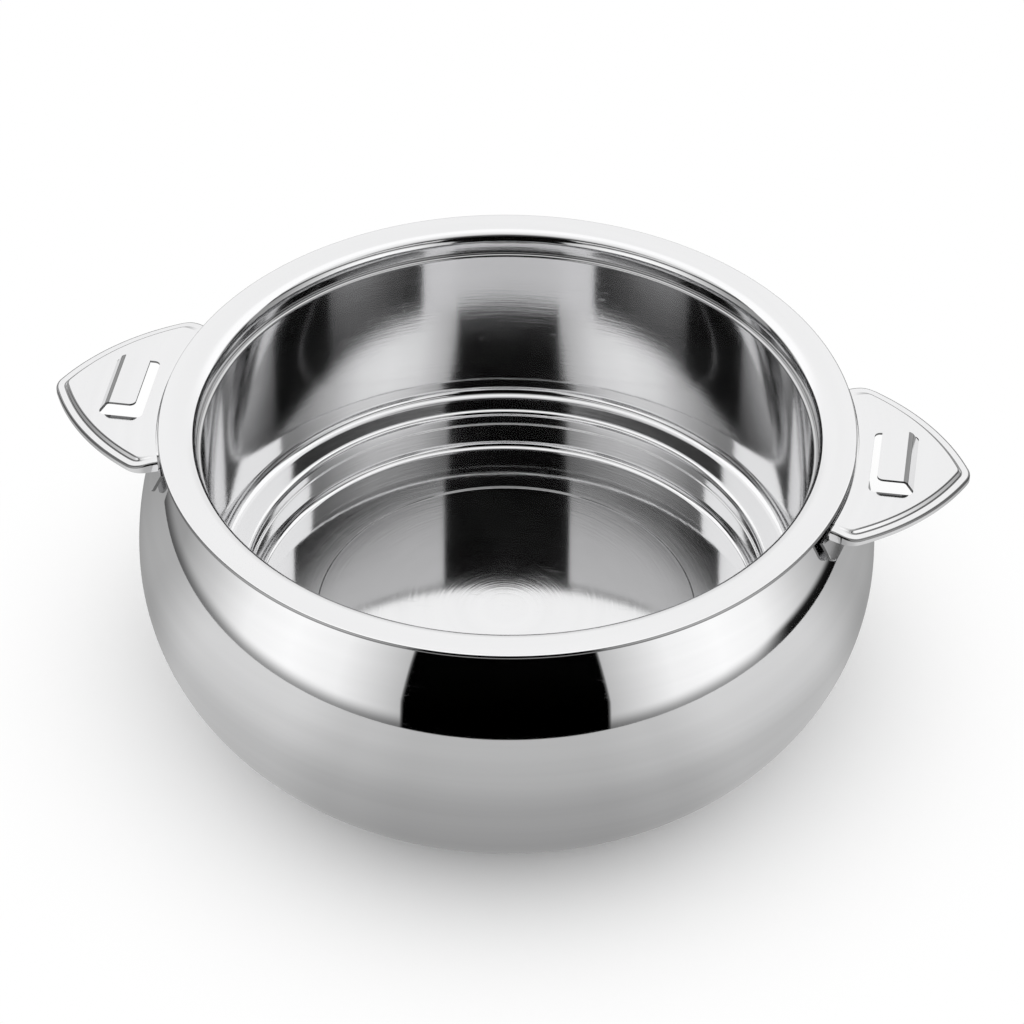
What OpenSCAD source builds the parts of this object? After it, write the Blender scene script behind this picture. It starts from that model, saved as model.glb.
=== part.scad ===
// Insulated chapati casserole: a double-wall stainless steel serving bowl with
// two pressed pick-shaped handles, shown open, without its lid.
//
// Millimetres, +Z up, origin at the centre of the foot ring on the table.
// The handles lie along X. Every round form is turned about Z from one profile.

/* [Rim] */
// Outer diameter of the flat rim
rim_d = 230; // [226:1:234]
// Width of the rim, from its outer edge in to the collar
rim_w = 12.6; // [12:0.1:13.2]
// Radius of the rim's rounded inner edge
rim_round = 4.1; // [3:0.1:5]
// Depth of the collar, from the rim down to the step
collar_depth = 7.6; // [6.6:0.1:9]

/* [Inner vessel] */
// Width of the step under the collar
step_w = 1.4; // [1.3:0.1:3]
// How much the upper wall's radius grows from the ledge up to the step
wall_draft = 1.8; // [0:0.1:2.2]
// Depth of the ledge below the rim
ledge_depth = 68; // [60:1:72]
// Width of the ledge
ledge_w = 10.8; // [9:0.2:12]
// Depth of the thin bead under the riser
bead_depth = 73.2; // [73:0.2:76]
// Width of the bead
bead_w = 0.6; // [0.5:0.1:2]
// Depth of the floor below the rim
floor_depth = 83; // [80:1:90]
// Width of the floor round its sunken centre panel
floor_w = 22.8; // [12:0.2:36]
// How far the centre panel is sunk
panel_sink = 0.5; // [0.3:0.1:1]

/* [Outer shell] */
// Height of the rim above the table
height = 106; // [102:1:112]
// How far the belly bulges out beyond the rim
belly_out = 8.5; // [7:0.5:12]
// Height of the belly's widest line
belly_h = 56.2; // [50:0.2:60]
// How far the foot ring stands in from the rim's edge
foot_set = 22.3; // [19:0.1:25]
// Width of the foot ring, round the pressed-up base
foot_w = 8.7; // [7:0.1:16]
// Height of the pressed-up base above the table
recess_h = 4; // [3.6:0.1:6]

/* [Sheet] */
// Thickness of the shell, vessel and base cap sheet
sheet = 0.5; // [0.4:0.05:0.6]
// How far the rolled hem reaches in from the rim's edge
hem_reach = 2.6; // [2.2:0.1:2.8]
// Overhang of the rim beyond the shell's neck
neck_in = 3.8; // [3.6:0.1:5]

/* [Handle plate] */
// Reach of the handle's tip beyond the rim
handle_reach = 37.2; // [34:0.2:42]
// Radius of the handle's rounded tip
tip_r = 7; // [5.5:0.1:9]
// Radius of each long curved side
side_r = 78; // [74:1:84]
// How far each side's centre lies beyond the handle's middle line
side_past = 29.3; // [27:0.1:31]
// Radius of the rounded corners beside the bowl
corner_r = 7.5; // [6:0.1:9]
// Radius of the short edge from each corner back to the bowl
return_r = 60; // [50:1:70]
// Clearance in plan between the rim and the handle plate
plate_gap = 0.6; // [0.4:0.1:1]
// Thickness of the handle plate
plate_t = 0.8; // [0.6:0.05:1]
// Drop from the rim's top to the plate's raised middle
plate_drop = 2.1; // [1.9:0.1:3]
// Width of the flat border round the raised middle
border_w = 3; // [2:0.1:3.4]
// Width of the slope between border and raised middle
slope_w = 0.9; // [0.6:0.1:1.2]
// Height of the raised middle above the border
raise_h = 1.4; // [0.9:0.1:2]
// Depth of the turned-down skirt, from the border's top
skirt_h = 2.1; // [1.6:0.1:3]
// Radius of the bend between border and skirt
bend_r = 0.7; // [0.4:0.1:1]

/* [Lock tongue] */
// Width of the tongue across the handle
tongue_w = 25.6; // [20:0.2:26]
// Length of the tongue's flat top
tongue_len = 9.6; // [8:0.2:11]
// Height of the tongue's top above the plate
tongue_h = 3.5; // [2.5:0.1:5]
// Run of the sloping riser that carries the tongue
tongue_run = 2.4; // [1.6:0.1:4]
// Width of the window across the handle
window_w = 30.4; // [28:0.2:32]
// Distance from the plate's inner edge to the window
window_in = 4.4; // [3.8:0.1:5]
// Gap between the tongue's free end and the window's edge
tongue_gap = 2.5; // [1.5:0.1:3.5]
// Radius of the window's and the tongue's corners
window_r = 2; // [1:0.1:3]

/* [Handle bracket] */
// Thickness of the bracket's strip
strip_t = 1; // [0.8:0.1:1.2]
// Span of the bracket across the handle
bracket_w = 82.4; // [76:0.2:86]
// Height of the leg that lies on the bowl's shoulder
leg_h = 9.8; // [8:0.1:12]
// Radius of the leg's lower corners
leg_r = 3.5; // [2:0.1:4]
// Width of the top flange that carries the plate, across the handle
flange_w = 64; // [50:1:66]
// Reach of the top flange under the plate
flange_reach = 6.4; // [6:0.1:6.6]
// How much wider than the bowl the strip is rolled
roll_out = 27; // [15:1:34]

/* [Base] */
// Drop from the pressed-up base to the base cap's face
cap_drop = 2.8; // [2.4:0.1:3.2]
// Diameter of the filling hole
fill_d = 10; // [8:0.5:14]
// Diameter of the vent hole
vent_d = 5; // [4:0.5:8]
// Distance from the foot ring in to the middle of the vent hole
vent_in = 24; // [16:1:40]
// Width of each plug's head beyond its hole
plug_lip = 2.5; // [1.5:0.1:4]
// Thickness of each plug's head
plug_head = 1.2; // [0.8:0.1:1.6]
// Length of each plug's stem above the base
plug_stem = 2; // [1:0.1:4]

/* [Fits] */
// Clearance between the foam and the sheets round it
foam_gap = 0.05; // [0.03:0.01:0.1]
// Clearance round the base cap in its recess
cap_gap = 0.1; // [0.05:0.05:0.3]
// Clearance between each bracket and the bowl where they are welded
weld_gap = 0.05; // [0.03:0.01:0.1]

/* [Hidden] */
$fn = 128;

// Radii of the turned pieces
rim_r = rim_d / 2;
mouth_r = rim_r - rim_w;
wall_top_r = mouth_r - step_w;
wall_r = wall_top_r - wall_draft;
riser_r = wall_r - ledge_w;
lower_r = riser_r - bead_w;
panel_r = lower_r - floor_w;
belly_r = rim_r + belly_out;
foot_r = rim_r - foot_set;
foot_in_r = foot_r - foot_w;
neck_r = rim_r - neck_in;

// Heights above the table
step_z = height - collar_depth;
ledge_z = height - ledge_depth;
bead_z = height - bead_depth;
floor_z = height - floor_depth;
hem_t = 3 * sheet;
lip_z = height - 2 * sheet;

// Fillets of the inner vessel, on its inner face
collar_fillet = 0.5;
ledge_fillet = 3.5;
ledge_round = 2;
bead_fillet = 0.5;
floor_fillet = 2.5;
panel_fillet = 0.4;

// The step's edge is rounded up to where the collar's fillet begins
step_round = step_w - collar_fillet;

// The shoulder and the lower body are two arcs that meet at the belly
shoulder_rise = lip_z - belly_h;
shoulder_r = (pow(belly_r - neck_r, 2) + pow(shoulder_rise, 2)) / (2 * (belly_r - neck_r));
lower_arc_r = (pow(belly_r - foot_r, 2) + pow(belly_h, 2)) / (2 * (belly_r - foot_r));
shoulder_at = belly_r - shoulder_r;
lower_arc_at = belly_r - lower_arc_r;

// Heights of the handle plate
middle_z = height - plate_drop;
border_z = middle_z - raise_h;
skirt_z = border_z - skirt_h;
inner_edge_r = rim_r + plate_gap;

// The plate's outline: two side arcs, a tip arc, two corner arcs and two return arcs,
// whose centres lie beyond the rim and beyond the handle's middle line
tip_at = rim_r + handle_reach - tip_r;
side_at = tip_at - sqrt(pow(side_r - tip_r, 2) - pow(side_past, 2));
return_out = 19.5;
return_past = 17.5;
return_at = rim_r + return_out;
corner_c = circle_meet([side_at, -side_past], side_r - corner_r, [return_at, -return_past], return_r - corner_r);

// The lanced tongue, measured outwards along the handle
window_at = inner_edge_r + window_in;
tongue_at = window_at + tongue_gap;
riser_at = tongue_at + tongue_len;
riser_foot = riser_at + tongue_run;

// The bracket hangs under the plate's raised middle
bracket_z = middle_z - plate_t;

// The base cap and the plugs
cap_z = recess_h - cap_drop;
cap_r = foot_in_r - cap_gap;
vent_at = foot_in_r - vent_in;

// Reach of shapes that only cut others away
far = 400;

// Meeting point, on the left of the line from a to b, of circles round a and b
function circle_meet(a, ra, b, rb) =
    let (d = norm(b - a), u = (b - a) / d, along = (d * d + ra * ra - rb * rb) / (2 * d))
    a + along * u + sqrt(ra * ra - along * along) * [-u[1], u[0]];

// Direction in degrees from point a to point b
function heading(a, b) = atan2(b[1] - a[1], b[0] - a[0]);

// ---------------------------------------------------------------- turned pieces

// Profile of the space inside the body's outer face, moved in by an inset
module body_space(inset, top) {
    intersection() {
        union() {
            intersection() {
                translate([shoulder_at, belly_h]) circle(r = shoulder_r - inset);
                translate([0, belly_h]) square([far, height]);
            }
            intersection() {
                translate([lower_arc_at, belly_h]) circle(r = lower_arc_r - inset);
                square([far, belly_h]);
            }
            square([lower_r, height]);
        }
        translate([0, inset]) square([far, top - inset]);
    }
}

// Profile of a round space with a flat bottom and a filleted corner
module well(r, bottom, fillet, off) {
    translate([0, bottom + fillet]) square([r + off, height - bottom - fillet]);
    translate([0, bottom - off]) square([r - fillet, fillet + off]);
    translate([r - fillet, bottom + fillet]) circle(r = fillet + off);
}

// Profile of a space that opens out over a rounded edge of the metal
module flare(r, top, round_r, off) {
    translate([0, top - round_r]) difference() {
        square([r + round_r, round_r]);
        translate([r + round_r, 0]) circle(r = round_r - off);
    }
}

// Profile of the space in the upper wall, which widens from the ledge up to the step
module upper_wall_space(off) {
    well(wall_r, ledge_z, ledge_fillet, off);
    polygon([
        [0, ledge_z + ledge_fillet],
        [wall_r + off, ledge_z + ledge_fillet],
        [wall_top_r + off, step_z - step_round],
        [wall_top_r + off, height],
        [0, height],
    ]);
}

// Profile of the inside of the inner vessel, moved out by off to give the sheet's other face
module vessel_space(off) {
    flare(mouth_r, height, rim_round, off);
    well(mouth_r, step_z, collar_fillet, off);
    flare(wall_top_r, step_z, step_round, off);
    upper_wall_space(off);
    flare(riser_r, ledge_z, ledge_round, off);
    well(riser_r, bead_z, bead_fillet, off);
    well(lower_r, floor_z, floor_fillet, off);
    well(panel_r, floor_z - panel_sink, panel_fillet, off);
}

// Profile of the hem that is rolled round the shell's lip
module hem_profile() {
    hem_round = hem_t / 2;
    difference() {
        union() {
            translate([rim_r - hem_round, height - hem_round]) circle(r = hem_round);
            translate([rim_r - hem_reach, height - hem_t]) square([hem_reach - hem_round, hem_t]);
            translate([mouth_r + rim_round, height - sheet]) {
                square([rim_r - hem_round - mouth_r - rim_round, sheet]);
            }
        }
        translate([0, lip_z]) square([rim_r - sheet, sheet]);
    }
}

// A round hole through the base, at a distance from the middle
module base_hole(d, at) {
    translate([at, 0, -sheet]) cylinder(d = d, h = recess_h + 3 * sheet);
}

module outer_shell() {
    color("silver")
    difference() {
        rotate_extrude() {
            difference() {
                body_space(0, height - sheet);
                square([foot_in_r, recess_h]);
                difference() {
                    body_space(sheet, height);
                    square([foot_in_r + sheet, recess_h + sheet]);
                }
            }
            translate([neck_r - sheet, lip_z]) square([rim_r - neck_r, sheet]);
        }
        base_hole(fill_d, 0);
        base_hole(vent_d, vent_at);
    }
}

module inner_vessel() {
    color("gainsboro")
    rotate_extrude() {
        difference() {
            intersection() {
                vessel_space(sheet);
                square([rim_r, height]);
            }
            vessel_space(0);
        }
        hem_profile();
    }
}

module insulation() {
    clear = sheet + foam_gap;
    color("khaki")
    difference() {
        rotate_extrude() {
            difference() {
                body_space(clear, lip_z - foam_gap);
                vessel_space(clear);
                square([foot_in_r + clear, recess_h + clear]);
            }
        }
        plug_room(fill_d, 0);
        plug_room(vent_d, vent_at);
    }
}

// Room in the foam for a plug's stem
module plug_room(d, at) {
    translate([at, 0, recess_h]) cylinder(d = d + 2 * foam_gap, h = sheet + plug_stem + foam_gap);
}

module base_cap() {
    color("silver")
    rotate_extrude() {
        translate([0, cap_z]) square([cap_r, sheet]);
        translate([cap_r - sheet, cap_z]) square([sheet, cap_drop]);
    }
}

// A push-in plug: a stem through the base with a flat head under it
module plug(d, at) {
    translate([at, 0, 0]) {
        translate([0, 0, recess_h - plug_head]) cylinder(d = d + 2 * plug_lip, h = plug_head);
        translate([0, 0, recess_h - plug_head]) cylinder(d = d, h = plug_head + sheet + plug_stem);
    }
}

module fill_plug() {
    color("dimgray") plug(fill_d, 0);
}

module vent_plug() {
    color("dimgray") plug(vent_d, vent_at);
}

// ------------------------------------------------------------------ handle plate

// A round column or cone about a point of the plate's plan
module column(at, r0, r1, z0, z1) {
    translate([at[0], at[1], z0]) cylinder(r1 = r0, r2 = r1, h = z1 - z0);
}

// What lies beyond a rounded corner: a wedge from the arc's centre, less the round
module beyond_corner(at, from, to, r0, r1, z0, z1) {
    difference() {
        translate([at[0], at[1], z0]) linear_extrude(z1 - z0) polygon([
            [0, 0],
            far * [cos(from), sin(from)],
            far * [cos((from + to) / 2), sin((from + to) / 2)],
            far * [cos(to), sin(to)],
        ]);
        column(at, r0, r1, z0, z1);
    }
}

// The plate's plan between two heights, moved in by in0 at the lower and in1 at the upper
module pick_block(z0, z1, in0, in1) {
    turn = heading([side_at, -side_past], [tip_at, 0]);
    corner_from = heading([side_at, -side_past], corner_c);
    corner_to = heading([return_at, -return_past], corner_c);
    difference() {
        intersection_for (s = [-1, 1]) {
            intersection() {
                column([side_at, s * side_past], side_r - in0, side_r - in1, z0, z1);
                column([return_at, s * return_past], return_r - in0, return_r - in1, z0, z1);
            }
        }
        beyond_corner([tip_at, 0], -turn, turn, tip_r - in0, tip_r - in1, z0, z1);
        beyond_corner(corner_c, corner_from, corner_to, corner_r - in0, corner_r - in1, z0, z1);
        mirror([0, 1, 0]) {
            beyond_corner(corner_c, corner_from, corner_to, corner_r - in0, corner_r - in1, z0, z1);
        }
        translate([0, 0, z0 - sheet]) cylinder(r = inner_edge_r, h = z1 - z0 + 2 * sheet);
    }
}

// The pressing as a solid block: skirt, border and raised middle, moved in and down by t
module pressing_block(t, bottom) {
    rise = middle_z - t;
    fold = border_z - t;
    pick_block(bottom, fold - bend_r, t, t);
    pick_block(fold - bend_r, fold, t, t + bend_r);
    pick_block(fold, rise, t + border_w, t + border_w + slope_w);
}

// A rectangle in plan, its width across the handle, with its four corners rounded
module rounded_window(from, to, w, r) {
    for (s = [-1, 1]) translate([from + r, s * (w / 2 - r)]) circle(r = r);
    for (s = [-1, 1]) translate([to - r, s * (w / 2 - r)]) circle(r = r);
    translate([from, r - w / 2]) square([to - from, w - 2 * r]);
    translate([from + r, -w / 2]) square([to - from - 2 * r, w]);
}

// Side view of the lanced tongue: a flat top, a bend and the riser down to the plate
module tongue_profile() {
    top = middle_z + tongue_h;
    low = top - plate_t;
    polygon([
        [tongue_at, low],
        [riser_at, low],
        [riser_foot - plate_t, middle_z - plate_t],
        [riser_foot + 2 * plate_t, middle_z - plate_t],
        [riser_foot + 2 * plate_t, middle_z],
        [riser_foot + plate_t / 2, middle_z],
        [riser_at + plate_t, low],
        [riser_at, top],
        [tongue_at, top],
    ]);
    translate([riser_at, low]) circle(r = plate_t);
}

// The tongue as a strip of plate, cut to its plan
module tongue() {
    plan_end = riser_foot + 3 * plate_t;
    intersection() {
        rotate([90, 0, 0]) linear_extrude(tongue_w, center = true) tongue_profile();
        translate([0, 0, skirt_z]) linear_extrude(height) {
            rounded_window(tongue_at, plan_end + window_r, tongue_w, window_r);
        }
    }
}

// One pressed handle, pointing along +X
module handle_plate() {
    difference() {
        pressing_block(0, skirt_z);
        pressing_block(plate_t, skirt_z - plate_t);
        translate([0, 0, skirt_z]) linear_extrude(height) {
            rounded_window(window_at, riser_foot, window_w, window_r);
        }
    }
    tongue();
}

module right_handle_plate() {
    color("whitesmoke") handle_plate();
}

module left_handle_plate() {
    color("whitesmoke") rotate([0, 0, 180]) handle_plate();
}

// ---------------------------------------------------------------- handle bracket

// Profile of the strip that follows the shoulder, rolled wider than the bowl
module leg_profile() {
    centre = [shoulder_at + roll_out, belly_h];
    face_r = shoulder_r + weld_gap;
    intersection() {
        difference() {
            translate(centre) circle(r = face_r + strip_t);
            translate(centre) circle(r = face_r);
        }
        translate([centre[0], bracket_z - leg_h]) square([far, leg_h]);
    }
}

// Radius of the rolled strip's inner face at its top
function leg_top_r() =
    shoulder_at + roll_out + sqrt(pow(shoulder_r + weld_gap, 2) - pow(bracket_z - belly_h, 2));

// One angle bracket: a leg on the shoulder and a flange under the plate, along +X
module handle_bracket() {
    intersection() {
        translate([-roll_out, 0, 0]) rotate_extrude() leg_profile();
        rotate([90, 0, 90]) linear_extrude(far) {
            for (s = [-1, 1]) translate([s * (bracket_w / 2 - leg_r), bracket_z - leg_h + leg_r]) circle(r = leg_r);
            translate([leg_r - bracket_w / 2, bracket_z - leg_h]) square([bracket_w - 2 * leg_r, leg_h]);
            translate([-bracket_w / 2, bracket_z - leg_h + leg_r]) square([bracket_w, leg_h - leg_r]);
        }
    }
    intersection() {
        translate([-roll_out, 0, bracket_z - strip_t]) difference() {
            cylinder(r = leg_top_r() + flange_reach, h = strip_t);
            translate([0, 0, -strip_t]) cylinder(r = leg_top_r(), h = 3 * strip_t);
        }
        translate([0, -flange_w / 2, 0]) cube([far, flange_w, height]);
    }
}

module right_handle_bracket() {
    color("silver") handle_bracket();
}

module left_handle_bracket() {
    color("silver") rotate([0, 0, 180]) handle_bracket();
}

outer_shell();
inner_vessel();
insulation();
base_cap();
fill_plug();
vent_plug();
left_handle_plate();
right_handle_plate();
left_handle_bracket();
right_handle_bracket();
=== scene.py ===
# %% [markdown]
# # An insulated steel casserole
#
# On the table stands an open serving bowl: a mirror-polished belly outside, a stepped
# liner inside, foam between them, and two pressed handles whose tongues lock a lid.
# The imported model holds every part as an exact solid. It could be shown as it is, but
# polished steel shows each facet, so the sheets are formed again here, finely enough
# for clean reflections, and each one then stands for its solid.

# %% Load the frame
import bpy, bmesh, math
from mathutils import Vector, Matrix


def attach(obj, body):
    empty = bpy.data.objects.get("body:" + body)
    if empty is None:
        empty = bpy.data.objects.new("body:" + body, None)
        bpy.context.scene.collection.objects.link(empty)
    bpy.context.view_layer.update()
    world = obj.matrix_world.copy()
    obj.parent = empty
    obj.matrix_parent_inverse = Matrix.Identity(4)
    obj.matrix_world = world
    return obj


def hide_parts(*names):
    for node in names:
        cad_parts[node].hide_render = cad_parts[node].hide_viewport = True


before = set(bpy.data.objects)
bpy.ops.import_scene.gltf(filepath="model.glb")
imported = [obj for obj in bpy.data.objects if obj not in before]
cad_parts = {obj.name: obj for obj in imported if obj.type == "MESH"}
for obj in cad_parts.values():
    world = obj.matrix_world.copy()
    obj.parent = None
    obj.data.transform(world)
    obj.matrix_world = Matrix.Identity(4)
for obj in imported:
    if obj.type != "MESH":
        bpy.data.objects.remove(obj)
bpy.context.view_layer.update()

# %% [markdown]
# ## Units and sizes
#
# A maker draws this bowl in millimetres, and Blender works in metres. Everything is
# modelled in millimetres and scaled once, when a mesh is finished, because small bevels
# are safer on large numbers. Radii are from the bowl's axis, heights from the table.

# %% Sizes of the bowl
MM = 0.001
SHEET, CLEAR = 0.5, 0.05
HEIGHT = 106.0
RIM_R, MOUTH_R, NECK_R = 115.0, 102.4, 111.2
LIP_Z = HEIGHT - 2 * SHEET
BELLY_R, BELLY_Z = 123.5, 56.2
FOOT_R, FOOT_IN_R, RECESS_Z = 92.7, 84.0, 4.0
print("the rim is", 2 * RIM_R, "mm wide and", HEIGHT, "mm high")

# %% [markdown]
# ## A line with rounded corners
#
# A metal spinner works from a half profile: straight runs with a small radius at each
# bend. The line could be typed in point by point. Here only its corners are typed, and
# the vertex bevel rounds each one, so a radius stays a number that can be changed.

# %% Corners and bends
LINE_STEPS = 8


def round_corners(bm, points, offset, segments):
    bmesh.ops.bevel(bm, geom=points, offset=offset, offset_type="OFFSET", segments=segments,
                    profile=0.5, affect="VERTICES", material=-1)


def draw_line(corners):
    bm = bmesh.new()
    points = [bm.verts.new((r, 0, z)) for r, z, *_ in corners]
    for pair in zip(points, points[1:]):
        bm.edges.new(pair)
    neighbours = zip(corners, corners[1:], corners[2:])
    for point, (before, here, after) in zip(points[1:], neighbours):
        if len(here) > 2:
            a = Vector(before[:2]) - Vector(here[:2])
            b = Vector(after[:2]) - Vector(here[:2])
            round_corners(bm, [point], here[2] / math.tan(a.angle(b) / 2), LINE_STEPS)
    return bm


trial = draw_line([(0, 0), (10, 0, 2), (10, 10)])
print("one rounded corner makes", len(trial.verts), "points")
trial.free()

# %% [markdown]
# ## Long arcs
#
# The belly and the handles' sides are arcs of large circles. A curve object could draw
# them, but spinning a single vertex about the arc's centre gives the same points inside
# the mesh, and the end of one arc is the start of the next.

# %% Arcs
def only(kind, items):
    return [item for item in items if isinstance(item, kind)]


def sweep(bm, start, centre, degrees, steps, axis=(0, 0, 1)):
    made = bmesh.ops.spin(bm, geom=[start], cent=centre, axis=axis,
                          angle=math.radians(degrees), steps=steps)
    return only(bmesh.types.BMVert, made["geom_last"])[0]


# %% [markdown]
# ## Turning, thickness and shading
#
# A spun sheet has the same thickness everywhere. Two surfaces could be modelled, but the
# Solidify modifier makes the second one from the first. Narrow fillets beside wide flats
# bend the shading of a mirror, so the Weighted Normal modifier lets the wide faces lead.
# Sheet that was cut, and not rolled, also gets a broken edge and a second finish on it.

# %% Turning and finishing
TURNS = 288
EDGE_ANGLE, EDGE_STEPS = 50, 2


def weld(bm, dist=1e-4):
    bmesh.ops.remove_doubles(bm, verts=bm.verts, dist=dist)


def turn_line(bm):
    bmesh.ops.spin(bm, geom=bm.verts[:] + bm.edges[:], cent=(0, 0, 0), axis=(0, 0, 1),
                   angle=2 * math.pi, steps=TURNS, use_merge=True)
    weld(bm)
    bmesh.ops.recalc_face_normals(bm, faces=bm.faces)


def finish_mesh(name, bm):
    bmesh.ops.scale(bm, vec=(MM, MM, MM), verts=bm.verts)
    for face in bm.faces:
        face.smooth = True
    mesh = bpy.data.meshes.new(name)
    bm.to_mesh(mesh)
    bm.free()
    piece = bpy.data.objects.new(name, mesh)
    bpy.context.scene.collection.objects.link(piece)
    return piece


def give_thickness(piece, thickness, edge=0):
    wall = piece.modifiers.new("thickness", "SOLIDIFY")
    wall.thickness = thickness * MM
    wall.offset = -1
    wall.use_even_offset = True
    if edge:
        wall.material_offset_rim = 1
        worn = piece.modifiers.new("broken edges", "BEVEL")
        worn.width = edge * MM
        worn.segments = EDGE_STEPS
        worn.limit_method = "ANGLE"
        worn.angle_limit = math.radians(EDGE_ANGLE)
    shading = piece.modifiers.new("even shading", "WEIGHTED_NORMAL")
    shading.keep_sharp = True


def look_along(bm, towards):
    along = sum(face.normal.dot(towards(face.calc_center_median())) * face.calc_area()
                for face in bm.faces)
    if along < 0:
        bmesh.ops.reverse_faces(bm, faces=bm.faces)


print("each spun sheet has", TURNS, "steps round")

# %% [markdown]
# ## The inner vessel
#
# One drawn sheet makes the sunken panel, the floor, the bead, the ledge, the drafted
# wall, the step, the collar and the flat rim, and it is rolled under the rim as the hem.
# It could be several rings, but one line from the middle to the hem keeps it one sheet.
# The collar leans in by a fifth of a millimetre, which makes it mirror the room as the
# photographed one does.

# %% Inner vessel
FLOOR_Z, PANEL_R, LOWER_R, BEAD_Z = 23.0, 65.0, 87.8, 32.8
PANEL_SINK, PANEL_RUN, COLLAR_LEAN = 0.5, 0.3, 0.2
RISER_R, LEDGE_Z, WALL_R, WALL_TOP_R, STEP_Z = 88.4, 38.0, 99.2, 101.0, 98.4
HEM_REACH, HEM_T, HEM_ROUND = 2.6, 1.5, 0.74

bm = draw_line([
    (0, FLOOR_Z - PANEL_SINK), (PANEL_R - PANEL_RUN, FLOOR_Z - PANEL_SINK, 0.2),
    (PANEL_R, FLOOR_Z, 0.2), (LOWER_R, FLOOR_Z, 2.5), (LOWER_R, BEAD_Z, 0.2),
    (RISER_R, BEAD_Z, 0.2), (RISER_R, LEDGE_Z, 2.0), (WALL_R, LEDGE_Z, 3.5),
    (WALL_TOP_R, STEP_Z, 0.9), (MOUTH_R + COLLAR_LEAN, STEP_Z, 0.45),
    (MOUTH_R, HEIGHT, 4.1), (RIM_R, HEIGHT, HEM_ROUND),
    (RIM_R, HEIGHT - HEM_T, HEM_ROUND), (RIM_R - HEM_REACH, HEIGHT - HEM_T)])
print("the vessel's line has", len(bm.verts), "points")
turn_line(bm)

# %% [markdown]
# ## Painted shade in the vessel's bends
#
# Dark lines run along the bends. They are painted shade in the steel's colour, which
# stands for shade and reflections there. They could be painted as an image, but the
# bends are known by their radius and height, so each face gets a number, called fold,
# that says how much painted shade it gets. The steel's material reads it later.

# %% Painted shade in the vessel's bends
# How much painted shade a face in a bend, or on the step's edge, gets
IN_BEND, ON_STEP_EDGE = 0.8, 0.45
NEAR, STEP_IN = 0.4, 0.5


def vessel_bend_shade(reach, z):
    on_rim = reach > RIM_R - NEAR
    on_panel = abs(reach - PANEL_R) < NEAR and z < FLOOR_Z + 0.1
    in_step = MOUTH_R - STEP_IN < reach < MOUTH_R + NEAR and z < STEP_Z + 0.6
    if on_rim or on_panel or in_step:
        return IN_BEND
    on_edge = WALL_TOP_R - 0.1 < reach <= MOUTH_R - STEP_IN and z > STEP_Z - 1
    return ON_STEP_EDGE if on_edge else 0.0


bend_shade = bm.faces.layers.float.new("fold")
for face in bm.faces:
    at = face.calc_center_median()
    face[bend_shade] = vessel_bend_shade(math.hypot(at.x, at.y), at.z)
print("stained faces:", sum(face[bend_shade] > 0 for face in bm.faces))
look_along(bm, lambda at: Vector((0, 0, 60)) - at)
vessel = finish_mesh("spun_vessel", bm)
give_thickness(vessel, SHEET)

# %% [markdown]
# ## The outer shell
#
# The belly is two arcs that meet at its widest line. Below, the sheet turns into the foot
# ring and the pressed-up base with the filling hole; above, into the neck and the lip
# that the hem is rolled round. The two arcs are swept, and the rest are corners. The
# lower arc stops short of the foot, so that the foot's corner has room for its radius.

# %% Outer shell
def arc_radius(rise, run):
    return (run ** 2 + rise ** 2) / (2 * run)


SHOULDER_R = arc_radius(LIP_Z - BELLY_Z, BELLY_R - NECK_R)
LOWER_ARC_R = arc_radius(BELLY_Z, BELLY_R - FOOT_R)
FILL_R = 5.0
ARC_STEPS, HEEL_SHORT = 36, 1.2
PROFILE_AXIS = (0, 1, 0)
shoulder_end = math.degrees(math.asin((LIP_Z - BELLY_Z) / SHOULDER_R))
lower_end = math.degrees(math.asin(BELLY_Z / LOWER_ARC_R)) - HEEL_SHORT

bm = bmesh.new()
belly = bm.verts.new((BELLY_R, 0, BELLY_Z))
neck = sweep(bm, belly, (BELLY_R - SHOULDER_R, 0, BELLY_Z), -shoulder_end, ARC_STEPS,
             PROFILE_AXIS)
lip = bm.verts.new((RIM_R - SHEET, 0, LIP_Z))
bm.edges.new((neck, lip))
heel = sweep(bm, belly, (BELLY_R - LOWER_ARC_R, 0, BELLY_Z), lower_end, ARC_STEPS,
             PROFILE_AXIS)
weld(bm)
base = draw_line([(heel.co.x, heel.co.z), (FOOT_R, 0, 0.8), (FOOT_IN_R, 0, 0.9),
                  (FOOT_IN_R, RECESS_Z, 0.7), (FILL_R, RECESS_Z)])
base_mesh = bpy.data.meshes.new("base line")
base.to_mesh(base_mesh)
base.free()
bm.from_mesh(base_mesh)
bpy.data.meshes.remove(base_mesh)
weld(bm)
turn_line(bm)
look_along(bm, lambda at: at - Vector((0, 0, 55)))
shell = finish_mesh("spun_shell", bm)
give_thickness(shell, SHEET - CLEAR)
print("the shoulder's arc has a radius of", round(SHOULDER_R, 1), "mm")

# %% [markdown]
# ## The base cap
#
# The photograph doesn't show the underside. A thin disc is the usual way to close the
# recess in such a foot, and it hides the plugs of the foam's holes. It could be flat;
# its edge is turned up, so that it has something to hold it in the recess.

# %% Base cap
CAP_Z, CAP_R = 1.2, 83.9
bm = draw_line([(0, CAP_Z), (CAP_R, CAP_Z, 0.8), (CAP_R, RECESS_Z - 0.1)])
turn_line(bm)
look_along(bm, lambda at: Vector((at.x, at.y, -60)))
cap = finish_mesh("spun_cap", bm)
give_thickness(cap, SHEET)
print("the cap lies", CAP_Z, "mm above the table")

# %% [markdown]
# ## The pick-shaped plan of a handle
#
# In plan a handle is a guitar pick: a small tip arc, two long side arcs, two corners and
# a short return to the bowl. One half of a line at any inset is swept arc after arc, and
# the finished half is mirrored, because the handle is the same on both sides.

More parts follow.
